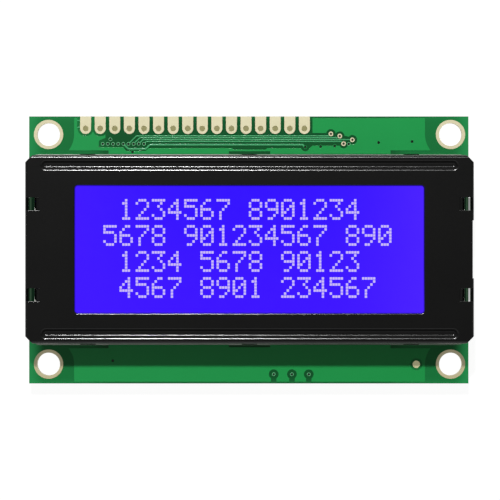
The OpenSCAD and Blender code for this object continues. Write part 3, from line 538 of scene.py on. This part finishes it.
film_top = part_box("front_polarizer")[1].z
deselect()
bpy.ops.mesh.primitive_plane_add(size=1)
tiles = bpy.context.object
tiles.name = "display_dots"
tiles.scale = (DOT_SIZE.x, DOT_SIZE.y, 1)
tiles.location = (FIRST_X + DOT_X / 2, FIRST_Y - DOT_Y / 2, film_top + DOT_LIFT)
bpy.ops.object.transform_apply(location=True, rotation=True, scale=True)
bpy.ops.object.mode_set(mode="EDIT")
bpy.ops.mesh.select_all(action="SELECT")
bpy.ops.mesh.extrude_region_move(TRANSFORM_OT_translate={"value": (0, 0, DOT_SIZE.z)})
bpy.ops.object.mode_set(mode="OBJECT")
for step, count in (
    ((DOT_X, 0, 0), 5), ((0, -DOT_Y, 0), 7), ((COLUMN, 0, 0), 20), ((0, -ROW, 0), 4)
):
    copies = tiles.modifiers.new("copies", "ARRAY")
    copies.use_relative_offset = False
    copies.use_constant_offset = True
    copies.constant_offset_displace = step
    copies.count = count
apply_all(tiles)


def is_dark(face):
    """True for a tile that the figure in its cell leaves closed."""
    right = face.center.x - FIRST_X
    down = FIRST_Y - face.center.y
    column, line = int(right // COLUMN), int(down // ROW)
    across, below = int((right - column * COLUMN) // DOT_X), int((down - line * ROW) // DOT_Y)
    text = LINES[line]
    figure = FIGURES.get(text[column]) if column < len(text) else None
    return figure is None or not figure[below] >> (4 - across) & 1


choose_faces(tiles, is_dark)
bpy.ops.mesh.delete(type="FACE")
bpy.ops.object.mode_set(mode="OBJECT")

open_dots, place = new_finish("open_dots")
grain = place.grain(0.2 * MM, 2)
colour = grain.mix(srgb(212, 194, 242), srgb(188, 168, 232))
lay_on(open_dots, {
    "Base Color": (0.02, 0.02, 0.05, 1), "Emission Color": colour, "Emission Strength": 1.0,
    "Roughness": grain * 0.1 + 0.2,
})
tiles.data.materials.append(open_dots)
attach(tiles, "root")

# ---- Bezel ----
# One sheet of 0.4 mm steel, pierced, pressed and folded, then painted satin black.
# Tabs lanced from its ends hold the glass, and tabs twisted behind the board hold it down.
PRESSED_RADIUS = 0.12 * MM
paint, place = new_finish("satin_black_paint")
peel = place.grain(0.6 * MM, 1)
dust = place.grain(0.07 * MM, 4)
cloud = place.grain(9 * MM, 3)
pressed = place.rounded(PRESSED_RADIUS, 16)
wall = place.facing().ramp(0.15, 0.5, 1, 0)
colour = (cloud * 0.6 + dust * 0.4).mix(srgb(2, 2, 2), srgb(7, 7, 6))
lay_on(paint, {
    "Base Color": colour,
    "Roughness": peel * 0.02 + cloud * 0.02 + wall * 0.3 + 0.175,
    "Specular IOR Level": 0.6,
    "Normal": peel.relief(0.002 * MM, 0.08, pressed),
}, "bezel")

# ---- Parts behind the board ----
# Three chips glued and wired to the board, each under a drop of black epoxy, and chip
# resistors and capacitors soldered by their metal ends.
epoxy, place = new_finish("black_epoxy")
cloud = place.grain(1.5 * MM, 3)
dust = place.grain(0.08 * MM, 3)
colour = cloud.mix(srgb(22, 22, 23), srgb(34, 34, 35))
lay_on(epoxy, {
    "Base Color": colour, "Roughness": cloud * 0.14 + dust * 0.1 + 0.16,
    "Normal": (cloud + dust * 0.1).relief(0.05 * MM, 0.25),
}, "controller_dome", "left_driver_dome", "right_driver_dome")

thick_film, place = new_finish("resistor_body")
grain = place.grain(0.15 * MM, 3)
colour = grain.mix(srgb(30, 31, 34), srgb(46, 47, 50))
lay_on(thick_film, {
    "Base Color": colour, "Roughness": grain * 0.2 + 0.3, "Normal": grain.relief(0.01 * MM, 0.3),
}, "chip_resistors")

ceramic, place = new_finish("capacitor_ceramic")
grain = place.grain(0.12 * MM, 3)
colour = grain.mix(srgb(178, 150, 112), srgb(150, 122, 86))
lay_on(ceramic, {
    "Base Color": colour, "Roughness": grain * 0.2 + 0.5, "Normal": grain.relief(0.01 * MM, 0.3),
}, "chip_capacitors")

# ---- Floor ----
# A plain pale floor under the module. It shows white and keeps the module's soft shadow. It
# carries painted shade close under the board, where little light gets through the small holes,
# and past the board's ends, and it glows under the board to light the module's back.
WHITE = (1, 1, 1, 1)
FLOOR_SIZE = 4
HOLE_X, HOLE_Y = 35 * MM, 20 * MM
OPENING_Y = 7.8 * MM
SLIT_FROM, SLIT_TO = 38.2 * MM, 38.8 * MM
HEADER_Y = 20.3 * MM
OWN_WHITE, SHADOWED = 0.94, 0.11  # what the floor shines with, and what the lamps add
SOFT_GREY, REAR_GLOW = 0.76, 0.9

deselect()
bpy.ops.mesh.primitive_plane_add(size=FLOOR_SIZE, location=(0, 0, cad_low.z))
floor = bpy.context.object
floor.name = "floor"
bpy.ops.object.transform_apply(location=True, rotation=True, scale=True)

floor_finish, place = new_finish("pale_floor")
tree = floor_finish.node_tree
x, y = place.axes()[:2]
under_x = board_half.x - abs(x - board_middle.x)
under_y = board_half.y - abs(y - board_middle.y)
# Painted shade close under the board, except under the mounting holes.
painted_under_shade = under_x.least(under_y).ramp(0.6 * MM, 1.4 * MM)
from_hole = (HOLE_X - abs(x)).across(HOLE_Y - abs(y))
painted_under_shade = painted_under_shade * from_hole.ramp(2.8 * MM, 4 * MM)
# Painted shade on the floor past the board's ends, seen through the side openings, with a
# painted light slit at the right end.
painted_end_shade = abs(x).ramp(36 * MM, 36.1 * MM) * abs(x).ramp(38.95 * MM, 39.05 * MM, 1, 0)
painted_end_shade = painted_end_shade * abs(abs(y) - OPENING_Y).ramp(1.2 * MM, 1.3 * MM, 1, 0)
painted_slit_light = x.ramp(SLIT_FROM, SLIT_FROM + 0.15 * MM) * x.ramp(SLIT_TO - 0.1 * MM, SLIT_TO, 1, 0)
painted_slit_light = painted_slit_light * y.ramp(12 * MM, -12 * MM, 0.24, 0.5)
# Painted shade under the board, with a painted olive tint behind the header's holes.
by_header = y.ramp(HEADER_Y, HEADER_Y + 0.1 * MM)
painted_under_colour = by_header.mix((0.01, 0.015, 0.01, 1), (0.3, 0.28, 0.13, 1))
own_white = (OWN_WHITE, OWN_WHITE, OWN_WHITE, 1)
# The floor is painted fully white under the mounting holes.
open_floor = from_hole.ramp(2.4 * MM, 2.9 * MM).mix(WHITE, own_white)
shown = painted_under_shade.mix(open_floor, painted_under_colour)
shown = painted_end_shade.mix(shown, painted_slit_light.mix((0.012, 0.02, 0.014, 1), WHITE))
# Rays that the camera and gloss don't follow meet a soft pale floor, which glows under the
# board as painted light on the module's back.
soft_grey = (SOFT_GREY, SOFT_GREY, SOFT_GREY, 1)
soft = place.node("ShaderNodeBsdfDiffuse", None, {"Color": soft_grey})
from_below = place.node("ShaderNodeEmission", None, {"Color": WHITE, "Strength": REAR_GLOW})
rear = under_x.ramp(2 * MM, 4 * MM) * abs(y).ramp(17 * MM, 19 * MM, 1, 0)
soft = place.node("ShaderNodeMixShader", None, {0: rear, 1: soft, 2: from_below})
pale = place.node("ShaderNodeBsdfDiffuse", None, {"Color": (SHADOWED, SHADOWED, SHADOWED, 1)})
bright = place.node("ShaderNodeEmission", None, {"Color": shown, "Strength": 1.0})
seen = place.node("ShaderNodeAddShader", None, {0: pale, 1: bright})
ray = [place.node("ShaderNodeLightPath", output=name) for name in
       ("Is Camera Ray", "Is Glossy Ray", "Is Transmission Ray")]
looking = (ray[0] + ray[1] + ray[2]).least(1.0)
both = place.node("ShaderNodeMixShader", None, {0: looking, 1: soft, 2: seen})
# From below the floor is clear, so the back of the module shows through it.
clear = place.node("ShaderNodeBsdfTransparent")
from_back = place.node("ShaderNodeNewGeometry", output="Backfacing")
one_sided = place.node("ShaderNodeMixShader", None, {0: from_back, 1: both, 2: clear})
tree.links.new(one_sided.socket, tree.nodes["Material Output"].inputs["Surface"])
floor.data.materials.append(floor_finish)

# ---- Light and camera ----
# A soft lamp high above the header edge and a plain grey room round it, at the level at which
# a colour shows as it is written. The camera looks straight down, and sees the room as white.
KEY_FROM = Vector((-0.061, 0.578, 1)).normalized()
KEY_DISTANCE = 0.8
KEY_SIZE = 0.045
KEY_LEVEL = 0.78
key_light = bpy.data.lights.new("key", "AREA")
key_light.shape = "SQUARE"
key_light.size = KEY_SIZE
key_light.energy = KEY_LEVEL * pi ** 2 * KEY_DISTANCE ** 2 / KEY_FROM.z
key = bpy.data.objects.new("key", key_light)
bpy.context.scene.collection.objects.link(key)
key.location = KEY_FROM * KEY_DISTANCE
key.rotation_euler = KEY_FROM.to_track_quat("Z", "Y").to_euler()

world = bpy.data.worlds.new("room")
bpy.context.scene.world = world
world.use_nodes = True
OVERHEAD_LEVEL, FRONT_LEVEL, BACK_LEVEL, BELOW_LEVEL, ROOM_LEVEL = 0.05, 0.5, 0.3, 0.8, 0.075
sky = Wire(world.node_tree)
ray = [sky.node("ShaderNodeLightPath", output=name) for name in
       ("Is Camera Ray", "Is Transmission Ray")]
x, y, z = sky.node("ShaderNodeTexCoord", output="Generated").axes()
lowness = 1 - z.most(0.0)
overhead = z.ramp(0.9, 0.97, 0, OVERHEAD_LEVEL) * (1 - x * 3)
front = z.ramp(0.5, 0.62) * z.ramp(0.8, 0.94, 1, 0) * y.ramp(-0.2, 0.1, FRONT_LEVEL, 0)
back = lowness * lowness * y.ramp(-0.3, 0.6, 0, BACK_LEVEL)
below = z.ramp(-0.1, -0.4, 0, BELOW_LEVEL)
grey = overhead + front + back + below + ROOM_LEVEL
room = sky.node("ShaderNodeBackground", None, {"Color": WHITE, "Strength": grey})
white = sky.node("ShaderNodeBackground", None, {"Color": WHITE, "Strength": 1.0})
seen = sky.node("ShaderNodeMixShader", None, {0: ray[0] + ray[1], 1: room, 2: white})
world.node_tree.links.new(seen.socket, world.node_tree.nodes["World Output"].inputs["Surface"])

CAMERA_RISE = 0.47
CAMERA_OVER = (0.08 * MM, -0.12 * MM)
VIEW_WIDTH = 87.08 * MM
SENSOR_WIDTH = 36
camera_data = bpy.data.cameras.new("camera")
camera_data.sensor_width = SENSOR_WIDTH
camera_data.lens = SENSOR_WIDTH * CAMERA_RISE / VIEW_WIDTH
camera_data.clip_start = 0.01
camera = bpy.data.objects.new("camera", camera_data)
bpy.context.scene.collection.objects.link(camera)
camera.location = (*CAMERA_OVER, board_high.z + CAMERA_RISE)
bpy.context.scene.camera = camera
bpy.context.scene.view_settings.view_transform = "Standard"
